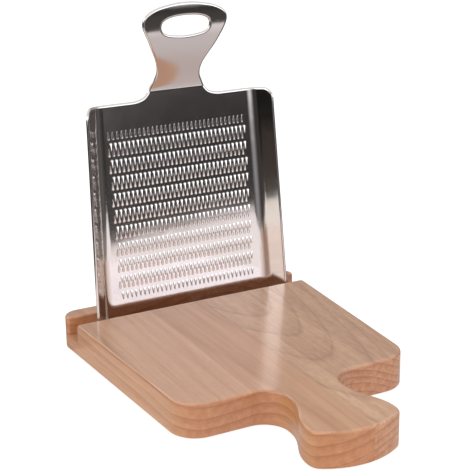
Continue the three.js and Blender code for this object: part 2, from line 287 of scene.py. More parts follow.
# ------------------------------------------------------------------------- world
def make_world():
    world = bpy.data.worlds.new("studio")
    scene.world = world
    world.use_nodes = True
    t = Tree(world.node_tree)
    place = t.node("ShaderNodeTexCoord")
    x, y, z = t.split(place.outputs["Generated"])
    rays = t.node("ShaderNodeLightPath")

    # how far a direction points back towards the camera's side
    facing = t.add(t.mul(x, -0.387), t.mul(y, -0.922))
    camera_side = t.step(facing, -0.15, 0.15)
    turn = t.math("ARCTAN2", x, t.mul(y, -1.0))          # 0 towards -Y, grows towards +X
    front_under = t.step(z, 0.02, 0.08, 1.0, 0.0)
    from_camera = t.math("ABSOLUTE", t.add(turn, 0.42))
    shade = t.mul(t.step(from_camera, 0.28, 0.62, 1.0, 0.0), t.step(z, 0.26, 0.42, 1.0, 0.0))
    front_dark = t.math("MAXIMUM", front_under, shade)   # the camera and its stand keep one side dark
    back_under = t.step(z, 0.38, 0.62, 1.0, 0.0)
    dark = t.add(t.mul(camera_side, t.sub(front_dark, back_under)), back_under)

    base = t.step(z, -0.24, -0.07, 0.062, 0.040)         # dim surroundings below the bright walls
    base = t.add(base, t.step(z, -0.045, 0.0, 0.0, 0.12))
    strip = t.step(z, -0.085, -0.025, 0.20, 0.85)        # a tall light beside the camera
    base = t.add(base, t.mul(t.hump(turn, 1.12, 0.50), 0.055))
    tint = t.mix(base, (0.0, 0.0, 0.0), (1.0, 0.94, 0.90))
    glare = t.mix(t.mul(t.hump(turn, -0.02, 0.46), strip), (0.0, 0.0, 0.0), (1.16, 1.13, 1.20))
    tint = t.mix(1.0, tint, glare, "ADD")
    left = t.mix(t.step(z, -0.162, -0.153), (0.054, 0.044, 0.038), (0.009, 0.009, 0.008))
    tint = t.mix(t.step(turn, -0.95, -0.70, 1.0, 0.0), tint, left)
    sheen = t.mul(t.sub(1.0, camera_side), t.step(z, 0.13, 0.22))                 # pale wall that the wood mirrors
    tint = t.mix(sheen, tint, (0.41, 0.42, 0.385))
    behind = t.mul(t.step(t.math("ABSOLUTE", turn), 2.3, 2.6), t.step(z, -0.04, 0.08, 1.0, 0.0))  # paper behind the board
    tint = t.mix(behind, tint, (0.46, 0.44, 0.43))
    bright = t.step(z, 0.25, 0.55, 1.5, 0.9)
    gap = t.mul(t.step(z, 0.33, 0.38), t.step(z, 0.54, 0.60, 1.0, 0.0))   # between the lit wall and the ceiling
    gap = t.mul(gap, t.step(turn, -0.55, -0.15))
    bright = t.mul(bright, t.sub(1.0, t.mul(gap, 0.35)))
    lamp = t.mul(t.step(turn, -0.80, -0.60, 1.0, 0.0), t.mul(t.step(z, 0.28, 0.34), t.step(z, 0.62, 0.70, 1.0, 0.0)))
    bright = t.add(bright, t.mul(lamp, 1.0))
    bright_tint = t.mix(1.0, (1.0, 0.985, 0.97), t.vector(bright, bright, bright), "MULTIPLY")
    window = t.mul(t.hump(turn, 0.50, 0.50), t.step(z, 0.40, 0.47, 1.0, 0.0))   # daylight from one side
    bright_tint = t.mix(window, bright_tint, (1.95, 2.05, 2.3))
    seen = t.mix(dark, bright_tint, tint)

    mirror = t.node("ShaderNodeBackground")
    t.link(seen, mirror.inputs["Color"])
    mirror.inputs["Strength"].default_value = 1.0
    soft = t.node("ShaderNodeBackground")
    soft.inputs["Color"].default_value = (0.97, 0.985, 1.0, 1.0)
    soft.inputs["Strength"].default_value = 0.80
    plain = t.node("ShaderNodeBackground")
    plain.inputs["Color"].default_value = (1.0, 1.0, 1.0, 1.0)
    plain.inputs["Strength"].default_value = 1.05
    first = t.node("ShaderNodeMixShader")
    t.link(rays.outputs["Is Glossy Ray"], first.inputs[0])
    t.link(soft.outputs[0], first.inputs[1])
    t.link(mirror.outputs[0], first.inputs[2])
    second = t.node("ShaderNodeMixShader")
    t.link(rays.outputs["Is Camera Ray"], second.inputs[0])
    t.link(first.outputs[0], second.inputs[1])
    t.link(plain.outputs[0], second.inputs[2])
    out = t.node("ShaderNodeOutputWorld")
    t.link(second.outputs[0], out.inputs["Surface"])


make_world()


def area_light(name, location, target, size, power, colour):
    data = bpy.data.lights.new(name, "AREA")
    data.shape = "DISK"
    data.size = size
    data.energy = power
    data.color = colour
    lamp = bpy.data.objects.new(name, data)
    scene.collection.objects.link(lamp)
    lamp.location = location
    lamp.rotation_mode = "QUATERNION"
    lamp.rotation_quaternion = (Vector(target) - Vector(location)).to_track_quat("-Z", "Y")
    lamp.visible_glossy = False
    lamp.visible_camera = False
    return lamp


area_light("soft_overhead", (-0.9, -1.0, 1.9), (0.0, -0.02, 0.03), 1.6, 26.0, (1.0, 0.975, 0.95))


# ------------------------------------------------------------------------- floor
def floor_material():
    m = bpy.data.materials.new("floor_paper")
    m.use_nodes = True
    t = Tree(m.node_tree)
    place = t.node("ShaderNodeTexCoord")
    grain = t.noise(t.scaled(place.outputs["Object"], (30.0, 30.0, 30.0)), 3.0)
    shader = t.node("ShaderNodeBsdfPrincipled")
    t.link(t.mix(grain, (0.44, 0.44, 0.44), (0.46, 0.46, 0.46)), shader.inputs["Base Color"])
    shader.inputs["Roughness"].default_value = 0.9
    shader.inputs["Specular IOR Level"].default_value = 0.0
    shader.inputs["Emission Color"].default_value = (1.0, 0.985, 0.975, 1.0)
    shader.inputs["Emission Strength"].default_value = 0.72
    out = t.node("ShaderNodeOutputMaterial")
    t.link(shader.outputs[0], out.inputs["Surface"])
    return m


def sweep_material():
    """the lit part of the sweep, as polished metal mirrors it"""
    m = bpy.data.materials.new("floor_lit_patch")
    m.use_nodes = True
    t = Tree(m.node_tree)
    place = t.node("ShaderNodeTexCoord").outputs["Object"]
    x, y, _ = t.split(t.scaled(place, (1000.0, 1000.0, 1000.0), (0.0, -SHIFT_Y, 0.0)))

    def side(px, py, nx, ny, soft):
        """0 to 1 across the line through (px, py) in the direction (nx, ny)"""
        d = t.add(t.mul(t.sub(x, px), nx), t.mul(t.sub(y, py), ny))
        return t.step(d, soft[0], soft[1])

    slant = t.node("ShaderNodeLayerWeight")
    slant.inputs["Blend"].default_value = 0.5
    flat = slant.outputs["Facing"]                       # paper shines more at a flat angle
    colour = t.mix(t.step(flat, 0.08, 0.50), (0.54, 0.45, 0.435), (0.63, 0.575, 0.575))
    colour = t.mix(t.step(flat, 0.52, 0.72), colour, (1.02, 0.95, 0.95))
    # painted shade: the glow is made dark beyond the next two lines, and the third gives a warm pale glow, painted
    # light
    colour = t.mix(side(80.0, 0.0, 0.85, 0.53, (-6.0, 10.0)), colour, (0.26, 0.235, 0.22))
    colour = t.mix(side(-52.0, 0.0, -0.893, -0.45, (0.0, 130.0)), colour, (0.22, 0.155, 0.125))
    colour = t.mix(side(58.0, 0.0, -0.8, 0.6, (-40.0, 60.0)), colour, (0.95, 0.875, 0.81))
    lit = side(0.0, -291.0, 0.387, 0.922, (-3.0, 3.0))
    lit = t.mul(lit, t.sub(1.0, side(245.0, -280.0, 0.99, 0.13, (-6.0, 6.0))))
    lit = t.mul(lit, t.sub(1.0, side(-238.0, -147.0, -0.922, 0.387, (-1.5, 1.5))))
    glow = t.node("ShaderNodeEmission")
    t.link(colour, glow.inputs["Color"])
    glow.inputs["Strength"].default_value = 1.0
    clear = t.node("ShaderNodeBsdfTransparent")
    both = t.node("ShaderNodeMixShader")
    t.link(lit, both.inputs[0])
    t.link(clear.outputs[0], both.inputs[1])
    t.link(glow.outputs[0], both.inputs[2])
    out = t.node("ShaderNodeOutputMaterial")
    t.link(both.outputs[0], out.inputs["Surface"])
    return m


def floor_part(name, corners, z, material):
    me = bpy.data.meshes.new(name)
    points = [placed((x, y, z)) for x, y in corners]
    me.from_pydata([tuple(p) for p in points], [], [tuple(range(len(points)))])
    me.materials.append(material)
    o = bpy.data.objects.new(name, me)
    scene.collection.objects.link(o)
    return o


far = 4000.0
floor = floor_part("floor", [(-far, -far), (far, -far), (far, far), (-far, far)], -0.25, floor_material())
floor.visible_glossy = False
# the part of the sweep that is lit as strongly as the paper under the board
patch = floor_part(
    "floor_lit", [(-420.0, 10.0), (-420.0, -460.0), (320.0, -460.0), (320.0, 10.0)], -0.5, sweep_material(),
)
patch.visible_camera = patch.visible_diffuse = patch.visible_shadow = False


# -------------------------------------------------------------------- curve tools
def monotone(table):
    """a smooth monotone curve through a table"""
    xs, ys = np.array([p[0] for p in table], float), np.array([p[1] for p in table], float)
    h = np.diff(xs)
    d = np.diff(ys) / h
    m = np.zeros(len(xs))
    m[0], m[-1] = d[0], d[-1]
    for i in range(1, len(xs) - 1):
        if d[i - 1] * d[i] > 0:
            w1, w2 = 2 * h[i] + h[i - 1], h[i] + 2 * h[i - 1]
            m[i] = (w1 + w2) / (w1 / d[i - 1] + w2 / d[i])

    def at(x):
        x = np.clip(np.asarray(x, float), xs[0], xs[-1])
        i = np.clip(np.searchsorted(xs, x, side="right") - 1, 0, len(h) - 1)
        f = (x - xs[i]) / h[i]
        return (
            (1 + 2 * f) * (1 - f) ** 2 * ys[i] + f * (1 - f) ** 2 * h[i] * m[i]
            + f * f * (3 - 2 * f) * ys[i + 1] + f * f * (f - 1) * h[i] * m[i + 1]
        )

    return at


def smooth_path(points, spacing, closed=False):
    """points spaced evenly along a smooth curve through the given ones"""
    p = np.asarray(points, float)
    if closed:
        p = np.vstack([p[-2:], p, p[:3]])
    t = np.concatenate([[0], np.cumsum(np.linalg.norm(np.diff(p, axis=0), axis=1))])
    slope = np.zeros_like(p)
    for i in range(1, len(p) - 1):
        a, b = t[i] - t[i - 1], t[i + 1] - t[i]
        slope[i] = ((p[i] - p[i - 1]) / a * b + (p[i + 1] - p[i]) / b * a) / (a + b)
    slope[0] = (p[1] - p[0]) / (t[1] - t[0])
    slope[-1] = (p[-1] - p[-2]) / (t[-1] - t[-2])
    dense = []
    first, last = (2, len(p) - 3) if closed else (0, len(p) - 1)
    for i in range(first, last):
        h = t[i + 1] - t[i]
        f = np.linspace(0, 1, 24, endpoint=False)[:, None]
        dense.append(
            (1 + 2 * f) * (1 - f) ** 2 * p[i] + f * (1 - f) ** 2 * h * slope[i]
            + f * f * (3 - 2 * f) * p[i + 1] + f * f * (f - 1) * h * slope[i + 1]
        )
    dense = np.vstack(dense + [p[last][None]])
    run = np.concatenate([[0], np.cumsum(np.linalg.norm(np.diff(dense, axis=0), axis=1))])
    count = max(4, int(round(run[-1] / spacing)))
    want = np.linspace(0, run[-1], count + 1)
    out = np.stack([np.interp(want, run, dense[:, k]) for k in range(2)], 1)
    return out[:-1] if closed else out


def inward(loop):
    """unit normals of a closed loop, to the left of its direction"""
    p = np.asarray(loop, float)
    before, after = p - np.roll(p, 1, 0), np.roll(p, -1, 0) - p
    lb, la = np.linalg.norm(before, axis=1)[:, None], np.linalg.norm(after, axis=1)[:, None]
    tangent = before / lb * la + after / la * lb
    tangent /= np.linalg.norm(tangent, axis=1)[:, None]
    return np.stack([-tangent[:, 1], tangent[:, 0]], 1)


def inside(points, loop):
    """which points lie inside a closed loop"""
    p, q = np.asarray(points, float), np.asarray(loop, float)
    r = np.roll(q, -1, 0)
    hit = np.zeros(len(p), bool)
    for a, b in zip(q, r):
        crosses = (a[1] > p[:, 1]) != (b[1] > p[:, 1])
        if crosses.any():
            x = a[0] + (p[:, 1] - a[1]) * (b[0] - a[0]) / (b[1] - a[1] if b[1] != a[1] else 1e-12)
            hit ^= crosses & (p[:, 0] < x)
    return hit


# ------------------------------------------------------------------ grater sheet
FLAT_HALF = BEND_HALF - BEND_RADIUS * math.tan(FLANGE_ANGLE / 2)
BEND_RUN = BEND_RADIUS * FLANGE_ANGLE
FLANGE_RUN = (FLANGE_DEPTH - BEND_RADIUS + BEND_RADIUS * math.cos(FLANGE_ANGLE)) / math.sin(FLANGE_ANGLE)
SHEET_HALF = FLAT_HALF + BEND_RUN + FLANGE_RUN

_angle = monotone(HANDLE_BEND)
_strip_s = np.arange(0, 56.001, 0.02)
_mid = np.radians(_angle(_strip_s[:-1] + 0.01))
_strip_y = np.concatenate([[0], np.cumsum(0.02 * np.sin(_mid))])
_strip_z = np.concatenate([[0], np.cumsum(0.02 * np.cos(_mid))]) + HANDLE_START


def width_at(s):
    return 1 - TAPER * np.minimum(s, HANDLE_START) / EDGE_HALF


def sheet_at(flat):
    """front point, unit vectors across and up the sheet, and front normal, at points of the
    flat pattern: distance across from the middle, distance up"""
    flat = np.asarray(flat, float)
    a, s = np.abs(flat[:, 0]), flat[:, 1]
    side = np.where(flat[:, 0] < 0, -1.0, 1.0)
    k = width_at(s)
    phi = np.clip((a - FLAT_HALF) / BEND_RADIUS, 0, FLANGE_ANGLE)
    d = np.maximum(a - FLAT_HALF - BEND_RUN, 0)
    x = np.minimum(a, FLAT_HALF) + BEND_RADIUS * np.sin(phi) + d * np.cos(phi)
    y = -BEND_RADIUS + BEND_RADIUS * np.cos(phi) - d * np.sin(phi)
    up_strip = np.maximum(s - HANDLE_START, 0)
    alpha = np.where(s > HANDLE_START, np.radians(_angle(up_strip)), 0.0)
    y = y + np.where(s > HANDLE_START, np.interp(up_strip, _strip_s, _strip_y), 0.0)
    z = np.where(s > HANDLE_START, np.interp(up_strip, _strip_s, _strip_z), s)
    slant = np.where(s > HANDLE_START, 0.0, -TAPER / EDGE_HALF)
    point = np.stack([x * side * k, y, z], 1)
    across = np.stack([np.cos(phi) * k, -np.sin(phi) * side, np.zeros_like(x)], 1)
    up = np.stack([x * side * slant, np.sin(alpha), np.cos(alpha)], 1)
    across /= np.linalg.norm(across, axis=1)[:, None]
    up /= np.linalg.norm(up, axis=1)[:, None]
    normal = np.cross(across, up)
    normal /= np.linalg.norm(normal, axis=1)[:, None]
    return point, across, up, normal


def grater_placed(points):
    """grater-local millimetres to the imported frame"""
    p = np.asarray(points, float)
    c, s = math.cos(LEAN), math.sin(LEAN)
    return placed(np.stack([
        p[:, 0] + SHEET_X, p[:, 1] * c + p[:, 2] * s + SHEET_Y, -p[:, 1] * s + p[:, 2] * c + BOARD_THICKNESS,
    ], 1))


def grater_turned(vectors):
    v = np.asarray(vectors, float)
    c, s = math.cos(LEAN), math.sin(LEAN)
    return np.stack([v[:, 0], v[:, 1] * c + v[:, 2] * s, -v[:, 1] * s + v[:, 2] * c], 1)


def handle_centre(s):
    return HANDLE_X + HANDLE_DRIFT * min(1.0, max(0.0, (s - 17.0) / 16.0))


def sheet_outline():
    """the flat pattern's edge, anticlockwise, and the finger hole's, clockwise"""
    r = FLANGE_CORNER
    lattice = list(FLAT_HALF + BEND_RUN * np.linspace(0, 1, 9))
    plain = [c for c in np.arange(2.5, FLAT_HALF - 0.6, 2.5)]
    tail = [c for c in np.linspace(FLAT_HALF + BEND_RUN, SHEET_HALF - r, 4)[1:]]
    half = [(0.0, SHEET_BOTTOM)] + [(x, SHEET_BOTTOM) for x in plain + lattice + tail]
    for i in range(1, 13):
        w = math.radians(-90 + 90 * i / 12)
        half.append((SHEET_HALF - r + r * math.cos(w), SHEET_BOTTOM + r + r * math.sin(w)))
    for z in np.linspace(SHEET_BOTTOM + r, SHOULDER - r, 40)[1:]:
        half.append((SHEET_HALF, z))
    for i in range(1, 13):
        w = math.radians(90 * i / 12)
        half.append((SHEET_HALF - r + r * math.cos(w), SHOULDER - r + r * math.sin(w)))
    for x in (tail[:-1] + [])[::-1] + lattice[::-1]:
        half.append((x, SHOULDER))
    k = float(width_at(np.array(HANDLE_START)))
    for x in [c for c in plain if c > 30][::-1]:
        half.append((x, SHOULDER))
    neck = [(handle_centre(s) + w, HANDLE_START + s) for s, w in HANDLE_HALF[1:]]
    mirrored = [(handle_centre(s) - w, HANDLE_START + s) for s, w in HANDLE_HALF[1:-1]][::-1]
    loop = smooth_path(neck + mirrored, 0.62)
    right = [(x / k, s) for x, s in loop]
    left_half = [(-x, s) for x, s in half[1:]][::-1]
    outer = np.array(half + right + left_half)
    keep = [0]
    for i in range(1, len(outer)):
        if np.linalg.norm(outer[i] - outer[keep[-1]]) > 0.05:
            keep.append(i)
    outer = outer[keep]
    hr = [(HOLE_X + w, HANDLE_START + s) for s, w in HOLE_HALF]
    hl = [(2 * HOLE_X - x, s) for x, s in hr[1:-1]][::-1]
    hole = smooth_path(hr + hl, 0.55, closed=True)
    hole[:, 0] /= k
    return outer, hole[::-1]


def edge_profile():
    """inset, depth behind the front, and the normal as (outward, to the front)"""
    a, b = FRONT_ROUND
    rows = []
    for i in range(7):
        w = math.radians(90 * i / 6)
        n = np.array([math.sin(w) / a, math.cos(w) / b])
        n /= np.linalg.norm(n)
        rows.append((a * (1 - math.sin(w)), b * (1 - math.cos(w)), n[0], n[1]))
    r = BACK_ROUND
    rows.append((0.0, SHEET - r, 1.0, 0.0))
    for i in range(1, 5):
        w = math.radians(90 * i / 4)
        rows.append((r * (1 - math.cos(w)), SHEET - r + r * math.sin(w), math.cos(w), -math.sin(w)))
    return rows


class Shell:
    """points, triangles and the normal at every triangle corner"""

    def __init__(self):
        self.points, self.normals, self.flat, self.count = [], [], [], 0
        self.tris, self.corner = [], []

    def add(self, points, normals, flat):
        first = self.count
        self.points.append(np.asarray(points, float))
        self.normals.append(np.asarray(normals, float))
        self.flat.append(np.asarray(flat, float))
        self.count += len(points)
        return np.arange(first, self.count)

    def faces(self, tris, corner=None):
        tris = np.asarray(tris, int).reshape(-1, 3)
        self.tris.append(tris)
        self.corner.append(corner)

    def arrays(self):
        p, n = np.vstack(self.points), np.vstack(self.normals)
        t = np.vstack(self.tris)
        c = np.vstack([
            n[tri].reshape(-1, 3, 3) if corner is None else corner for tri, corner in zip(self.tris, self.corner)
        ])
        return p, t, c


def strip_faces(upper, lower):
    """quads between two rings of the same length, as triangles"""
    n = len(upper)
    j = (np.arange(n) + 1) % n
    a, b, c, d = upper, upper[j], lower[j], lower
    return np.vstack([np.stack([a, d, c], 1), np.stack([a, c, b], 1)])


def fill_plane(flat, loops, extra):
    """triangles over the flat pattern inside loops[0] and outside the other loops;
    flat holds every point's place, loops and extra hold its indices"""
    ids = list(dict.fromkeys([int(i) for loop in loops for i in loop] + [int(i) for i in extra]))
    where = {i: n for n, i in enumerate(ids)}
    coords = [Vector((flat[i][0], flat[i][1])) for i in ids]
    polys = [[where[int(i)] for i in loop] for loop in loops]
    _, _, faces, orig_verts, _, orig_faces = delaunay_2d_cdt(coords, [], polys, 0, 1e-7)
    back = [o[0] if o else None for o in orig_verts]
    out = []
    for f, of in zip(faces, orig_faces):
        if of != [0]:
            continue
        tri = [back[i] for i in f]
        if None in tri:
            raise RuntimeError("a crossing in the flat pattern")
        out.append([ids[i] for i in tri])
    return np.array(out, int)


def tooth_lists(base_gap):
    """centre across, start up, direction and size of every tooth"""
    rng = random.Random(7)
    rows = []
    for row in range(TOOTH_ROWS):
        for col in range(TOOTH_COLUMNS):
            x = TOOTH_FIRST_X + TOOTH_PITCH * col + ROW_OFFSET[row]
            z = TOOTH_FIRST_Z - ROW_PITCH * row
            for down in (False, True):
                jx, jz = rng.uniform(-0.05, 0.05), rng.uniform(-0.06, 0.06)
                tall = 1.0 + rng.uniform(-0.06, 0.06)
                if down:
                    rows.append((x + DOWN_OFFSET[row] + jx, z + DOWN_BASE + jz, -1, tall))
                else:
                    rows.append((x + jx, z + UP_BASE + jz, 1, tall))
    return rows


def build_sheet():
    shell = Shell()
    outer, hole = sheet_outline()
    profile = edge_profile()
    rings = []
    for loop in (outer, hole):
        inn = inward(loop)
        kept = []
        for inset, depth, out, front in profile:
            flat = loop + inn * inset
            point, across, up, normal = sheet_at(flat)
            edge = -(across * inn[:, :1] + up * inn[:, 1:])
            n = edge * out + normal * front
            n /= np.linalg.norm(n, axis=1)[:, None]
            kept.append(shell.add(point - normal * depth, n, flat))
        for a, b in zip(kept[:-1], kept[1:]):
            shell.faces(strip_faces(a, b))
        rings.append(kept)

    def spare(front):
        """points that carry the bends and the curve of the handle"""
        flat = []
        for x in FLAT_HALF + BEND_RUN * np.linspace(0, 1, 9):
            for z in np.linspace(SHEET_BOTTOM + 3.2, SHOULDER - 3.2, 40):
                flat += [(x, z), (-x, z)]
        rows = list(np.arange(116.8, 121.6, 0.3)) + list(np.arange(122.2, 169.5, 1.15))
        for s in rows:
            for x in np.arange(-24.5, 24.6, 3.5):
                flat.append((x, s))
        flat = np.array(flat)
        which = 0 if front else -1
        outer_in = np.vstack([outer + inward(outer) * (profile[which][0] + 0.7)])
        hole_in = hole + inward(hole) * (profile[which][0] + 0.7)
        return flat[inside(flat, outer_in) & ~inside(flat, hole_in)]

    # front face with its teeth
    shapes = {}
    for way, table in ((1, TOOTH_UP), (-1, TOOTH_DOWN)):
        n_mid = len(table) - 2
        local = [(0.0, 0.0, 0.0)]
        for along, half, ridge in table[1:-1]:
            for a in ACROSS:
                local.append((a * half, along, ridge * (1 - abs(a) ** FULLNESS[way])))
        local.append((0.0, table[-1][0], 0.0))
        shapes[way] = np.array(local)
    w = len(ACROSS)
    tip = n_mid * w + 1
    body, nose = [], []
    for j in range(w - 1):
        body.append((0, 1 + j + 1, 1 + j))
        top = 1 + (n_mid - 1) * w
        nose.append((top + j, top + j + 1, tip))
    for i in range(n_mid - 1):
        for j in range(w - 1):
            a, b = 1 + i * w + j, 1 + i * w + j + 1
            c, d = b + w, a + w
            body += [(a, b, c), (a, c, d)]
    body, nose = np.array(body), np.array(nose)
    right = [1 + i * w + w - 1 for i in range(n_mid)]
    left = [1 + i * w for i in range(n_mid)]
    border = [0] + right + [tip] + left[::-1]
    loops = [rings[0][0], rings[1][0][::-1]]
    for x, z, direction, tall in tooth_lists(0):
        local = shapes[direction]
        s = z + direction * local[:, 1]
        flat = np.stack([(x + local[:, 0]) / width_at(s), s], 1)
        point, across, up, normal = sheet_at(flat)
        raised = point + normal * (local[:, 2] * tall)[:, None]
        ids = shell.add(raised, normal, flat)
        faces_body, faces_nose, rim = body, nose, border
        if direction < 0:
            faces_body, faces_nose, rim = body[:, ::-1], nose[:, ::-1], border[::-1]
        tri = np.vstack([faces_body, faces_nose])
        p = raised[tri]
        face_n = np.cross(p[:, 1] - p[:, 0], p[:, 2] - p[:, 0])
        smooth = np.zeros_like(raised)
        for k in range(3):
            np.add.at(smooth, faces_body[:, k], face_n[: len(faces_body)])
        smooth /= np.maximum(np.linalg.norm(smooth, axis=1)[:, None], 1e-12)
        corner_body = smooth[faces_body]
        flat_n = face_n[len(faces_body):]
        flat_n = flat_n / np.linalg.norm(flat_n, axis=1)[:, None]
        corner_nose = np.repeat(flat_n[:, None, :], 3, 1)
        shell.faces(ids[faces_body], corner_body)
        shell.faces(ids[faces_nose], corner_nose)
        loops.append(ids[rim])
    extra_flat = spare(True)
    point, _, _, normal = sheet_at(extra_flat)
    extra = shell.add(point, normal, extra_flat)
    flat_all = np.vstack(shell.flat)
    shell.faces(fill_plane(flat_all, loops, extra))

    # back face, with a shallow dent behind every tooth
    loops = [rings[0][-1], rings[1][-1][::-1]]
    ring = 8
    turn = 2 * np.pi * np.arange(ring) / ring
    for x, z, direction, tall in tooth_lists(0):
        along_d = 2.05 - 1.55 * np.cos(turn)
        wide = 0.56 - 0.10 * (along_d - 2.05)
        shape = np.stack([wide * np.sin(turn), along_d], 1)
        core = np.array([0.0, 1.85])
        pieces = [(shape, 0.0), (core + (shape - core) * 0.6, 0.17), (core[None], 0.24)]
        ids = []
        for pts, depth in pieces:
            s = z + direction * pts[:, 1]
            flat = np.stack([(x + pts[:, 0]) / width_at(s), s], 1)
            point, across, up, normal = sheet_at(flat)
            ids.append(shell.add(point - normal * (SHEET - depth), -normal, flat))
        i = np.arange(ring)
        j = (i + 1) % ring
        tri = np.vstack([
            np.stack([ids[0][i], ids[1][i], ids[1][j]], 1), np.stack([ids[0][i], ids[1][j], ids[0][j]], 1),
            np.stack([ids[1][i], np.full(ring, ids[2][0]), ids[1][j]], 1),
        ])
        if direction > 0:
            tri = tri[:, ::-1]
        loops.append(ids[0] if direction > 0 else ids[0][::-1])
        block = np.vstack(shell.points[-3:])
        base = ids[0][0]
        p = block[tri - base]
        face_n = np.cross(p[:, 1] - p[:, 0], p[:, 2] - p[:, 0])
        smooth = np.zeros_like(block)
        for k in range(3):
            np.add.at(smooth, tri[:, k] - base, face_n)
        smooth /= np.linalg.norm(smooth, axis=1)[:, None]
        shell.faces(tri, smooth[tri - base])
    extra_flat = spare(False)
    point, _, _, normal = sheet_at(extra_flat)
    extra = shell.add(point - normal * SHEET, -normal, extra_flat)
    flat_all = np.vstack(shell.flat)
    shell.faces(fill_plane(flat_all, loops, extra)[:, ::-1])
    return shell.arrays()


def mesh_object(name, points, tris, corner_normals, material):
    me = bpy.data.meshes.new(name)
    me.from_pydata([tuple(p) for p in points], [], [tuple(int(i) for i in t) for t in tris])
    me.update()
    me.polygons.foreach_set("use_smooth", np.ones(len(me.polygons), bool))
    me.materials.append(material)
    n = corner_normals.reshape(-1, 3)
    n = n / np.linalg.norm(n, axis=1)[:, None]
    me.normals_split_custom_set([tuple(v) for v in n])
    o = bpy.data.objects.new(name, me)
    scene.collection.objects.link(o)
    return o


# --------------------------------------------------------------------- materials
def steel_material():
    m = bpy.data.materials.new("steel_polished")
    m.use_nodes = True
    t = Tree(m.node_tree)
    place = t.node("ShaderNodeTexCoord").outputs["Object"]
    mm = t.scaled(place, (1000.0, 1000.0, 1000.0))
    fine = t.noise(t.scaled(mm, (9.0, 9.0, 0.35)), 2.0)               # polishing lines up the sheet
    slow = t.noise(t.scaled(mm, (0.05, 0.05, 0.05)), 2.0)
    smear = t.noise(t.scaled(mm, (0.16, 0.16, 0.10), (3.0, 1.0, 7.0)), 4.0, 0.6)
    shader = t.node("ShaderNodeBsdfPrincipled")
    shader.inputs["Metallic"].default_value = 1.0
    t.link(t.mix(slow, (0.80, 0.765, 0.745), (0.83, 0.79, 0.775)), shader.inputs["Base Color"])
    rough = t.add(t.mul(fine, 0.03), t.add(t.mul(smear, 0.05), 0.045))
    t.link(rough, shader.inputs["Roughness"])
    bump = t.node("ShaderNodeBump")
    bump.inputs["Strength"].default_value = 0.12
    bump.inputs["Distance"].default_value = 0.00002
    t.link(fine, bump.inputs["Height"])
    wave = t.node("ShaderNodeBump")
    wave.inputs["Strength"].default_value = 0.35
    wave.inputs["Distance"].default_value = 0.0002
    t.link(slow, wave.inputs["Height"])
    t.link(wave.outputs[0], bump.inputs["Normal"])
    t.link(bump.outputs[0], shader.inputs["Normal"])
    out = t.node("ShaderNodeOutputMaterial")
    t.link(shader.outputs[0], out.inputs["Surface"])
    return m


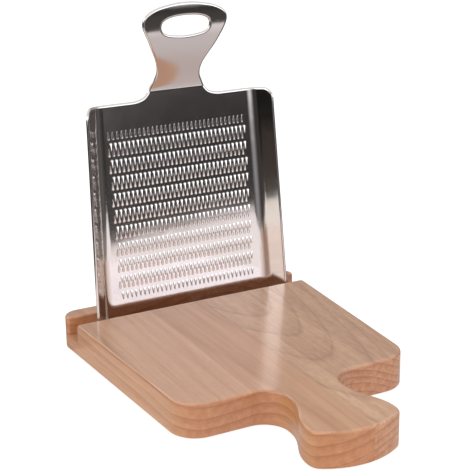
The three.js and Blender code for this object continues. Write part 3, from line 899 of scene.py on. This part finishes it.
def wood_material(name, rings, seed, light, dark, speckle):
    """rings: (x0, curve, along, first line, spacing); the figure is one solid, so that the
    top, the sides and the end grain agree"""
    m = bpy.data.materials.new(name)
    m.use_nodes = True
    t = Tree(m.node_tree)
    place = t.node("ShaderNodeTexCoord").outputs["Object"]
    mm = t.scaled(place, (1000.0, 1000.0, 1000.0), (0.0, -SHIFT_Y, 0.0))
    x, y, z = t.split(mm)
    geometry = t.node("ShaderNodeNewGeometry")
    _, ny, nz = t.split(geometry.outputs["Normal"])
    end = t.step(t.math("ABSOLUTE", ny), 0.25, 0.9)
    upright = t.step(t.math("ABSOLUTE", nz), 0.25, 0.9, 1.0, 0.0)

    warp = t.sub(t.noise(t.scaled(mm, (0.03, 0.009, 0.03), (seed, 2.0, seed)), 2.0), 0.5)
    x0, curve, along, first, spacing = rings
    off = t.sub(x, x0)
    level = t.add(t.add(z, t.mul(t.mul(off, off), curve)), t.mul(y, along))
    level = t.add(level, t.mul(warp, 3.2))
    uneven = t.mul(t.sub(t.noise_1d(t.mul(level, 0.16)), 0.5), 0.9)
    ring = t.math("FRACT", t.add(t.mul(t.sub(level, first), 1.0 / spacing), uneven))
    late = t.ramp(ring, [(0.0, 0.45), (0.06, 0.0), (0.55, 0.12), (0.86, 0.42), (0.95, 1.0), (1.0, 0.45)])

    streak = t.noise(t.scaled(mm, (0.30, 0.010, 0.30), (seed, 0.0, 0.0)), 3.0, 0.55)
    thin = t.noise(t.scaled(mm, (1.3, 0.03, 1.3), (0.0, seed, 0.0)), 2.0, 0.6)
    fleck = t.noise(t.scaled(mm, (2.4, 0.30, 2.4), (seed, 0.0, seed)), 2.0, 0.6)
    dash = t.step(fleck, 0.56, 0.72)
    mottle = t.noise(t.scaled(mm, (0.55, 0.16, 0.55), (0.0, seed, 3.0)), 3.0, 0.6)

    tone = t.add(0.42, t.mul(t.sub(streak, 0.5), 1.4))
    tone = t.add(tone, t.mul(t.sub(thin, 0.5), 0.42))
    tone = t.add(tone, t.mul(late, t.step(upright, 0.0, 1.0, 0.46, 0.74)))
    tone = t.add(tone, t.mul(t.sub(mottle, 0.5), speckle))
    tone = t.math("ADD", tone, -0.02, clamp=True)
    colour = t.mix(tone, light, dark)
    colour = t.mix(t.mul(dash, 0.30), colour, (0.27, 0.14, 0.075))
    # tints by face: the end grain's deeper tint is the wood's own, but the sides' darker, more orange tint beside the
    # paler top is painted shade and sheen
    ends = t.mix(end, (0.83, 0.665, 0.50), (0.80, 0.575, 0.44))
    colour = t.mix(1.0, colour, t.mix(upright, (0.84, 0.72, 0.64), ends), "MULTIPLY")
    # painted light: the wood is made lighter towards the grip, where the front of the board catches more light
    grip_painted_light = t.mix(t.step(y, -150.0, -95.0, 1.0, 0.0), (1.0, 1.0, 1.0), (1.14, 1.20, 1.22))   # towards the grip
    colour = t.mix(1.0, colour, grip_painted_light, "MULTIPLY")

    shader = t.node("ShaderNodeBsdfPrincipled")
    t.link(colour, shader.inputs["Base Color"])
    t.link(t.add(0.42, t.mul(t.sub(thin, 0.5), 0.2)), shader.inputs["Roughness"])
    t.link(t.step(upright, 0.0, 1.0, 1.0, 0.4), shader.inputs["Coat Weight"])
    shader.inputs["Coat Roughness"].default_value = 0.16
    shader.inputs["Coat IOR"].default_value = 1.75
    bump = t.node("ShaderNodeBump")
    bump.inputs["Strength"].default_value = 0.35
    bump.inputs["Distance"].default_value = 0.00012
    t.link(t.add(t.mul(thin, 0.5), t.mul(dash, -0.8)), bump.inputs["Height"])
    t.link(bump.outputs[0], shader.inputs["Normal"])
    out = t.node("ShaderNodeOutputMaterial")
    t.link(shader.outputs[0], out.inputs["Surface"])
    return m


# ------------------------------------------------------------------------- board
def board_plan():
    """the plan, anticlockwise from the middle of the back edge"""
    drop = BOARD_BACK_HALF - BOARD_FRONT_HALF
    run = BOARD_BACK_Y - BOARD_BACK_CORNER - (BOARD_FRONT_Y + BOARD_FRONT_CORNER)
    slope = math.atan2(drop, run)
    p = [(0.0, BOARD_BACK_Y)]

    def line_to(x, y, spacing=6.0):
        x0, y0 = p[-1]
        n = max(1, int(round(math.hypot(x - x0, y - y0) / spacing)))
        for i in range(1, n + 1):
            p.append((x0 + (x - x0) * i / n, y0 + (y - y0) * i / n))

    def arc(cx, cy, r, a0, a1, n):
        for i in range(1, n + 1):
            a = a0 + (a1 - a0) * i / n
            p.append((cx + r * math.cos(a), cy + r * math.sin(a)))

    def bezier(b, c, d, n):
        a = p[-1]
        for i in range(1, n + 1):
            f = i / n
            g = 1 - f
            p.append(tuple(g**3 * a[k] + 3 * g * g * f * b[k] + 3 * g * f * f * c[k] + f**3 * d[k] for k in range(2)))

    bx, by, br = BOARD_BACK_HALF - BOARD_BACK_CORNER, BOARD_BACK_Y - BOARD_BACK_CORNER, BOARD_BACK_CORNER
    fx, fy, fr = BOARD_FRONT_HALF - BOARD_FRONT_CORNER, BOARD_FRONT_Y + BOARD_FRONT_CORNER, BOARD_FRONT_CORNER
    line_to(bx, BOARD_BACK_Y)
    arc(bx, by, br, math.pi / 2, -slope, 16)
    line_to(fx + fr * math.cos(slope), fy - fr * math.sin(slope))
    arc(fx, fy, fr, -slope, -math.pi / 2, 14)
    line_to(NECK_HALF + NOTCH_RADIUS, BOARD_FRONT_Y)
    arc(NECK_HALF + NOTCH_RADIUS, BOARD_FRONT_Y - NOTCH_RADIUS, NOTCH_RADIUS, math.pi / 2, math.pi, 18)
    line_to(NECK_HALF, NECK_Y)
    bezier((NECK_HALF, -138.2), (17.0, -142.6), (19.2, -147.2), 10)
    bezier((21.8, -152.4), (HANDLE_END_HALF, -156.6), (HANDLE_END_HALF, -162.8), 12)
    bezier((HANDLE_END_HALF, -166.2), (23.1, -168.7), (20.9, -169.9), 9)
    bezier((14.7, -173.8), (7.3, HANDLE_END_Y), (0.0, HANDLE_END_Y), 12)
    left = [(-x, y) for x, y in p[1:-1]][::-1]
    return np.array((p + left)[::-1])


def board_mesh():
    """one bmesh of the whole board, with its own normals in a vertex layer"""
    plan = board_plan()
    r = EDGE_ROUND
    e = GROOVE_END_ROUND
    top, floor = BOARD_THICKNESS, GROOVE_FLOOR_Z

    def crossing(a, b, y):
        f = (y - a[1]) / (b[1] - a[1])
        return (a[0] + (b[0] - a[0]) * f, y)

    cuts = (GROOVE_FRONT_Y - e, GROOVE_BACK_Y + e)
    full = []
    for i in range(len(plan)):
        a, b = plan[i], plan[(i + 1) % len(plan)]
        full.append(tuple(a))
        inner = [crossing(a, b, y) for y in cuts if (a[1] - y) * (b[1] - y) < 0]
        inner.sort(key=lambda q: math.hypot(q[0] - a[0], q[1] - a[1]))
        full += inner
    full = np.array(full)
    full_in = inward(full)

    def near(y, value):
        return abs(y - value) < 1e-6

    n = len(full)
    start = [i for i in range(n) if near(full[i][1], cuts[0]) and full[i][0] < 0][0]
    order = [(start + i) % n for i in range(n)]
    front_part = []
    for i in order:
        front_part.append(i)
        if near(full[i][1], cuts[0]) and full[i][0] > 0:
            break
    start = [i for i in range(n) if near(full[i][1], cuts[1]) and full[i][0] > 0][0]
    order = [(start + i) % n for i in range(n)]
    back_part = []
    for i in order:
        back_part.append(i)
        if near(full[i][1], cuts[1]) and full[i][0] < 0:
            break

    def corner(x, y, cy, direction):
        """quarter round from the side (x, y) to the groove's wall; direction is the side of the board"""
        cx = x - direction * e
        pts = []
        for i in range(1, 9):
            a = math.pi / 2 * i / 8
            pts.append((cx + direction * e * math.cos(a), y + (cy - y) * math.sin(a)))
        return pts

    xr, xl = full[front_part[-1]][0], full[front_part[0]][0]
    front_wall = corner(xr, cuts[0], GROOVE_FRONT_Y, 1)
    inner_l = corner(xl, cuts[0], GROOVE_FRONT_Y, -1)[::-1]
    count = 24
    mid = [(front_wall[-1][0] + (inner_l[0][0] - front_wall[-1][0]) * i / count, GROOVE_FRONT_Y) for i in range(1, count)]
    front_wall = front_wall + mid + inner_l
    xr2, xl2 = full[back_part[0]][0], full[back_part[-1]][0]
    back_l = corner(xl2, cuts[1], GROOVE_BACK_Y, -1)
    back_r = corner(xr2, cuts[1], GROOVE_BACK_Y, 1)[::-1]
    mid = [(back_l[-1][0] + (back_r[0][0] - back_l[-1][0]) * i / count, GROOVE_BACK_Y) for i in range(1, count)]
    back_wall = back_l + mid + back_r
    front_loop = np.array([tuple(full[i]) for i in front_part] + front_wall)
    back_loop = np.array([tuple(full[i]) for i in back_part] + back_wall)

    bm = bmesh.new()
    layer = bm.verts.layers.float_vector.new("lean")
    kind = bm.faces.layers.int.new("plain")
    seen = {}

    def vert(x, y, z, normal):
        key = (round(x, 4), round(y, 4), round(z, 4))
        if key not in seen:
            v = bm.verts.new((x, y, z))
            v[layer] = Vector(normal)
            seen[key] = v
        return seen[key]

    def ring_of(loop, inn, inset, z, out, up):
        return [
            vert(p[0] + q[0] * inset, p[1] + q[1] * inset, z, (-q[0] * out, -q[1] * out, up))
            for p, q in zip(loop, inn)
        ]

    def face(verts, plain=0):
        clean = []
        for v in verts:
            if v not in clean:
                clean.append(v)
        if len(clean) > 2:
            f = bm.faces.new(clean)
            f[kind] = plain
            f.smooth = True

    def band(low, high):
        for i in range(len(low)):
            j = (i + 1) % len(low)
            face([low[i], low[j], high[j], high[i]])

    steps = 7
    # lower part: bottom edge, wall up to the groove's floor
    low = [ring_of(full, full_in, r * (1 - math.sin(math.pi / 2 * i / steps)), r * (1 - math.cos(math.pi / 2 * i / steps)),
                   math.sin(math.pi / 2 * i / steps), -math.cos(math.pi / 2 * i / steps)) for i in range(steps + 1)]
    face(low[0][::-1])
    for a, b in zip(low[:-1], low[1:]):
        band(a, b)
    wall_top = ring_of(full, full_in, 0.0, floor, 1.0, 0.0)
    band(low[-1], wall_top)
    # upper parts, each with its top edge rounded all the way round
    for loop in (front_loop, back_loop):
        inn = inward(loop)
        under = ring_of(loop, inn, 0.0, floor, 1.0, 0.0)
        previous = under
        for i in range(steps + 1):
            w = math.pi / 2 * i / steps
            ring = ring_of(loop, inn, r * (1 - math.cos(w)), top - r + r * math.sin(w), math.cos(w), math.sin(w))
            band(previous, ring)
            previous = ring
        face(previous)
    # the groove's floor
    ground = []
    for loop, wall in ((front_loop, front_wall), (back_loop, back_wall)):
        ground.append([vert(p[0], p[1], floor, (0, 0, 1)) for p in wall])
    index_fr, index_fl = front_part[-1], front_part[0]
    right_side = []
    i = index_fr
    while True:
        right_side.append(i)
        if i == back_part[0]:
            break
        i = (i + 1) % n
    left_side = []
    i = back_part[-1]
    while True:
        left_side.append(i)
        if i == index_fl:
            break
        i = (i + 1) % n
    loop = [vert(full[i][0], full[i][1], floor, (0, 0, 1)) for i in left_side]
    loop += ground[0][::-1]
    loop += [vert(full[i][0], full[i][1], floor, (0, 0, 1)) for i in right_side]
    loop += ground[1][::-1]
    face(loop, 1)
    bmesh.ops.recalc_face_normals(bm, faces=bm.faces[:])
    return bm


def stave_object(name, whole, x_low, x_high, material):
    bm = whole.copy()
    kind = bm.faces.layers.int["plain"]
    layer = bm.verts.layers.float_vector["lean"]
    for x, outer in ((x_low, False), (x_high, True)):
        if x is None:
            continue
        cut = bmesh.ops.bisect_plane(
            bm, geom=bm.verts[:] + bm.edges[:] + bm.faces[:], dist=1e-5, plane_co=(x, 0, 0), plane_no=(1, 0, 0),
            clear_outer=outer, clear_inner=not outer,
        )
        edges = [g for g in cut["geom_cut"] if isinstance(g, bmesh.types.BMEdge) and g.is_valid]
        made = bmesh.ops.edgeloop_fill(bm, edges=edges)["faces"]
        for f in made:
            f[kind] = 1
            f.smooth = True
    bmesh.ops.recalc_face_normals(bm, faces=bm.faces[:])
    bmesh.ops.triangulate(bm, faces=bm.faces[:], quad_method="BEAUTY", ngon_method="BEAUTY")
    bm.normal_update()
    bm.verts.ensure_lookup_table()
    bm.verts.index_update()
    points = placed(np.array([v.co[:] for v in bm.verts]))
    tris, corner = [], []
    for f in bm.faces:
        tris.append([v.index for v in f.verts])
        plain = f[kind] == 1
        for v in f.verts:
            n = Vector(f.normal) if plain or v[layer].length < 1e-6 else Vector(v[layer]).normalized()
            corner.append(n[:])
    bm.free()
    return mesh_object(name, points, np.array(tris), np.array(corner), material)


# ------------------------------------------------------------------------- build
points, tris, corner = build_sheet()
steel = steel_material()
sheet = mesh_object("grater_sheet", grater_placed(points), tris, grater_turned(corner.reshape(-1, 3)), steel)
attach(sheet, "grater")
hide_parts("grater_plate")

LEFT_RINGS = (-45.0, -1 / 300.0, -0.015, 12.0, 5.4)
RIGHT_RINGS = (22.0, 1 / 130.0, -0.10, 25.4, 3.9)
whole = board_mesh()
staves = [
    ("stave_left", "board_stave_left", None, STAVE_SEAMS[0],
     wood_material("wood_left", LEFT_RINGS, 3.7, (0.63, 0.39, 0.25), (0.44, 0.23, 0.12), 0.35)),
    ("stave_centre", "board_stave_centre", STAVE_SEAMS[0], STAVE_SEAMS[1],
     wood_material("wood_centre", LEFT_RINGS, 8.3, (0.60, 0.35, 0.21), (0.43, 0.215, 0.105), 0.35)),
    ("stave_right", "board_stave_right", STAVE_SEAMS[1], None,
     wood_material("wood_right", RIGHT_RINGS, 14.9, (0.66, 0.43, 0.285), (0.41, 0.22, 0.125), 1.0)),
]
for name, node, low, high, material in staves:
    piece = stave_object(name, whole, low, high, material)
    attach(piece, "board")
    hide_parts(node)
whole.free()

scene.view_settings.view_transform = "Standard"
